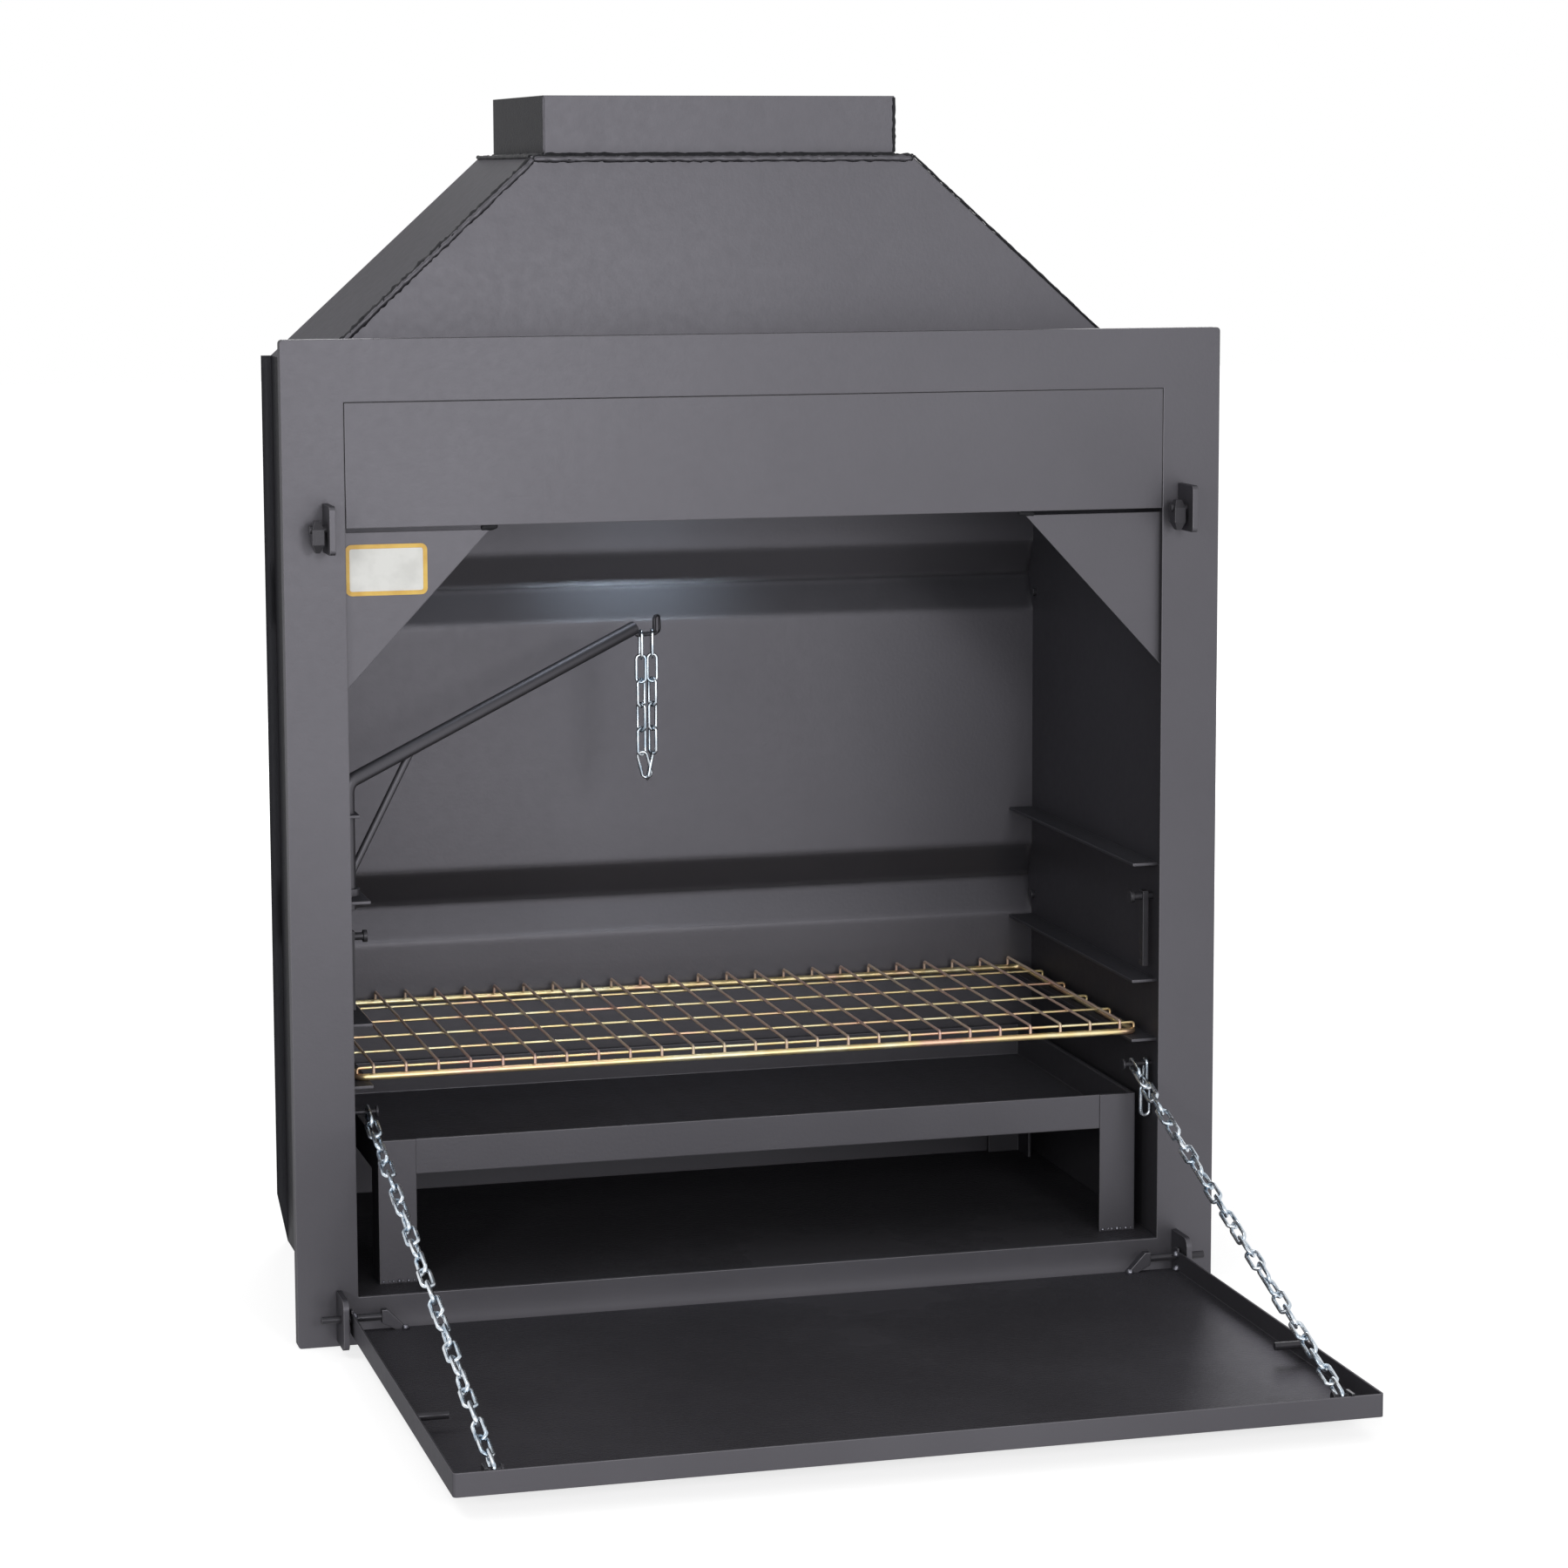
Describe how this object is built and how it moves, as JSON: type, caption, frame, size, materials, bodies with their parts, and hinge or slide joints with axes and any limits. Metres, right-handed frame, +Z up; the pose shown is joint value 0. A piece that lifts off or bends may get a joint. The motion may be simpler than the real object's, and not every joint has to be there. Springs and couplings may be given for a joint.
{
  "type": "built-in barbecue",
  "caption": "Steel built-in barbecue with a framed firebox, flue hood, drop-down door tray on chains, sliding cooking grid, loose fire pan and swinging pot arm.",
  "frame": {"origin": "centre of the base, on the underside of the base beam, half way between the front face of the frame and the back panel", "axes": "+X to the right as seen from the front, +Y towards the back, +Z up; the front faces -Y"},
  "size_m": [1, 1.046, 1.279],
  "materials": {
    "charcoal_paint": "satin charcoal heat-resistant paint on sheet steel",
    "dark_hardware": "painted steel pins, rods and small bars",
    "zinc_chain": "bright zinc plated steel chain",
    "plated_grid": "yellow passivated zinc plated wire",
    "plate_white": "white blank plate"
  },
  "bodies": {
    "body": {"front_frame": "charcoal_paint", "header_panel": "charcoal_paint", "left_gusset": "charcoal_paint", "right_gusset": "charcoal_paint", "name_plate": "plate_white", "left_wall": "charcoal_paint", "right_wall": "charcoal_paint", "back_panel": "charcoal_paint", "floor_panel": "charcoal_paint", "base_beam": "charcoal_paint", "top_cover": "charcoal_paint", "hood_front": "charcoal_paint", "hood_left": "charcoal_paint", "hood_right": "charcoal_paint", "hood_back": "charcoal_paint", "hood_top_plate": "charcoal_paint", "flue_collar": "charcoal_paint", "left_upper_rail": "charcoal_paint", "left_middle_rail": "charcoal_paint", "left_lower_rail": "charcoal_paint", "right_upper_rail": "charcoal_paint", "right_middle_rail": "charcoal_paint", "right_lower_rail": "charcoal_paint", "arm_bracket": "charcoal_paint", "chain_pins": "dark_hardware", "latch_pins": "dark_hardware", "hinge_ears": "charcoal_paint", "catch_plates": "charcoal_paint", "catch_pins": "dark_hardware", "back_bolts": "dark_hardware"},
    "door": {"door_panel": "charcoal_paint", "door_rods": "dark_hardware", "hinge_rods": "dark_hardware", "door_lugs": "charcoal_paint", "chain_eyes": "dark_hardware"},
    "left_upper_run": {"left_chain_upper": "zinc_chain"},
    "right_upper_run": {"right_chain_upper": "zinc_chain"},
    "left_lower_run": {"left_chain_lower": "zinc_chain"},
    "right_lower_run": {"right_chain_lower": "zinc_chain"},
    "grid": {"grid_frame": "plated_grid", "grid_long_wires": "plated_grid", "grid_cross_wires": "plated_grid"},
    "pan": {"fire_tray": "charcoal_paint", "pan_cross_beams": "charcoal_paint", "pan_side_beams": "charcoal_paint", "pan_front_left_leg": "charcoal_paint", "pan_rear_left_leg": "charcoal_paint", "pan_front_right_leg": "charcoal_paint", "pan_rear_right_leg": "charcoal_paint"},
    "arm": {"pot_arm": "charcoal_paint", "arm_brace": "charcoal_paint", "arm_collar": "charcoal_paint", "pot_hook": "charcoal_paint"},
    "hanging_chain": {"pot_chain": "zinc_chain"},
    "left_latch": {"left_latch_bar": "dark_hardware"},
    "right_latch": {"right_latch_bar": "dark_hardware"},
    "left_drop_pawl": {"left_pawl": "dark_hardware"},
    "right_drop_pawl": {"right_pawl": "dark_hardware"},
    "spare_chain": {"spare_links": "zinc_chain"}
  },
  "joints": [
    {"name": "door_hinge", "type": "hinge", "parent": "body", "child": "door", "pos_m": [0, -0.25, 0.036], "axis": [-1, 0, 0], "range_deg": [0, 90]},
    {"name": "left_upper_run_swing", "type": "hinge", "parent": "body", "child": "left_upper_run", "pos_m": [-0.419, -0.189, 0.237], "axis": [1, 0, 0], "range_deg": [0, 72.2]},
    {"name": "left_lower_run_swing", "type": "hinge", "parent": "door", "child": "left_lower_run", "pos_m": [-0.4108, -0.795, 0.04], "axis": [-1, 0, 0], "range_deg": [0, 15.8]},
    {"name": "right_upper_run_swing", "type": "hinge", "parent": "body", "child": "right_upper_run", "pos_m": [0.419, -0.189, 0.237], "axis": [1, 0, 0], "range_deg": [0, 72.2]},
    {"name": "right_lower_run_swing", "type": "hinge", "parent": "door", "child": "right_lower_run", "pos_m": [0.4108, -0.795, 0.04], "axis": [-1, 0, 0], "range_deg": [0, 15.8]},
    {"name": "grid_slide", "type": "slide", "parent": "body", "child": "grid", "axis": [0, 1, 0], "range_m": [-0.44, 0]},
    {"name": "pan_slide", "type": "slide", "parent": "body", "child": "pan", "axis": [0, 1, 0], "range_m": [-0.085, 0]},
    {"name": "arm_swing", "type": "hinge", "parent": "body", "child": "arm", "pos_m": [-0.43, -0.162, 0.5], "axis": [0, 0, 1], "range_deg": [-107, 20]},
    {"name": "pot_chain_swing", "type": "hinge", "parent": "arm", "child": "hanging_chain", "pos_m": [-0.0687, 0.02209, 0.7], "axis": [-0.891, -0.454, 0], "range_deg": [-30, 30]},
    {"name": "left_latch_swing", "type": "hinge", "parent": "body", "child": "left_latch", "pos_m": [-0.4325, -0.186, 0.421], "axis": [-1, 0, 0], "range_deg": [0, 75]},
    {"name": "right_latch_swing", "type": "hinge", "parent": "body", "child": "right_latch", "pos_m": [0.4325, -0.186, 0.421], "axis": [-1, 0, 0], "range_deg": [0, 75]},
    {"name": "left_pawl_swing", "type": "hinge", "parent": "body", "child": "left_drop_pawl", "pos_m": [-0.4695, -0.247, 0.846], "axis": [1, 0, 0], "range_deg": [-100, 25]},
    {"name": "right_pawl_swing", "type": "hinge", "parent": "body", "child": "right_drop_pawl", "pos_m": [0.4445, -0.247, 0.846], "axis": [1, 0, 0], "range_deg": [-100, 25]},
    {"name": "spare_links_swing", "type": "hinge", "parent": "body", "child": "spare_chain", "pos_m": [0.4346, -0.189, 0.237], "axis": [1, 0, 0], "range_deg": [-20, 60]}
  ],
  "couplings": [
    {"joint": "left_upper_run_swing", "follows": "door_hinge", "ratio": 0.8},
    {"joint": "left_lower_run_swing", "follows": "door_hinge", "ratio": 0.175},
    {"joint": "right_upper_run_swing", "follows": "door_hinge", "ratio": 0.8},
    {"joint": "right_lower_run_swing", "follows": "door_hinge", "ratio": 0.175}
  ]
}
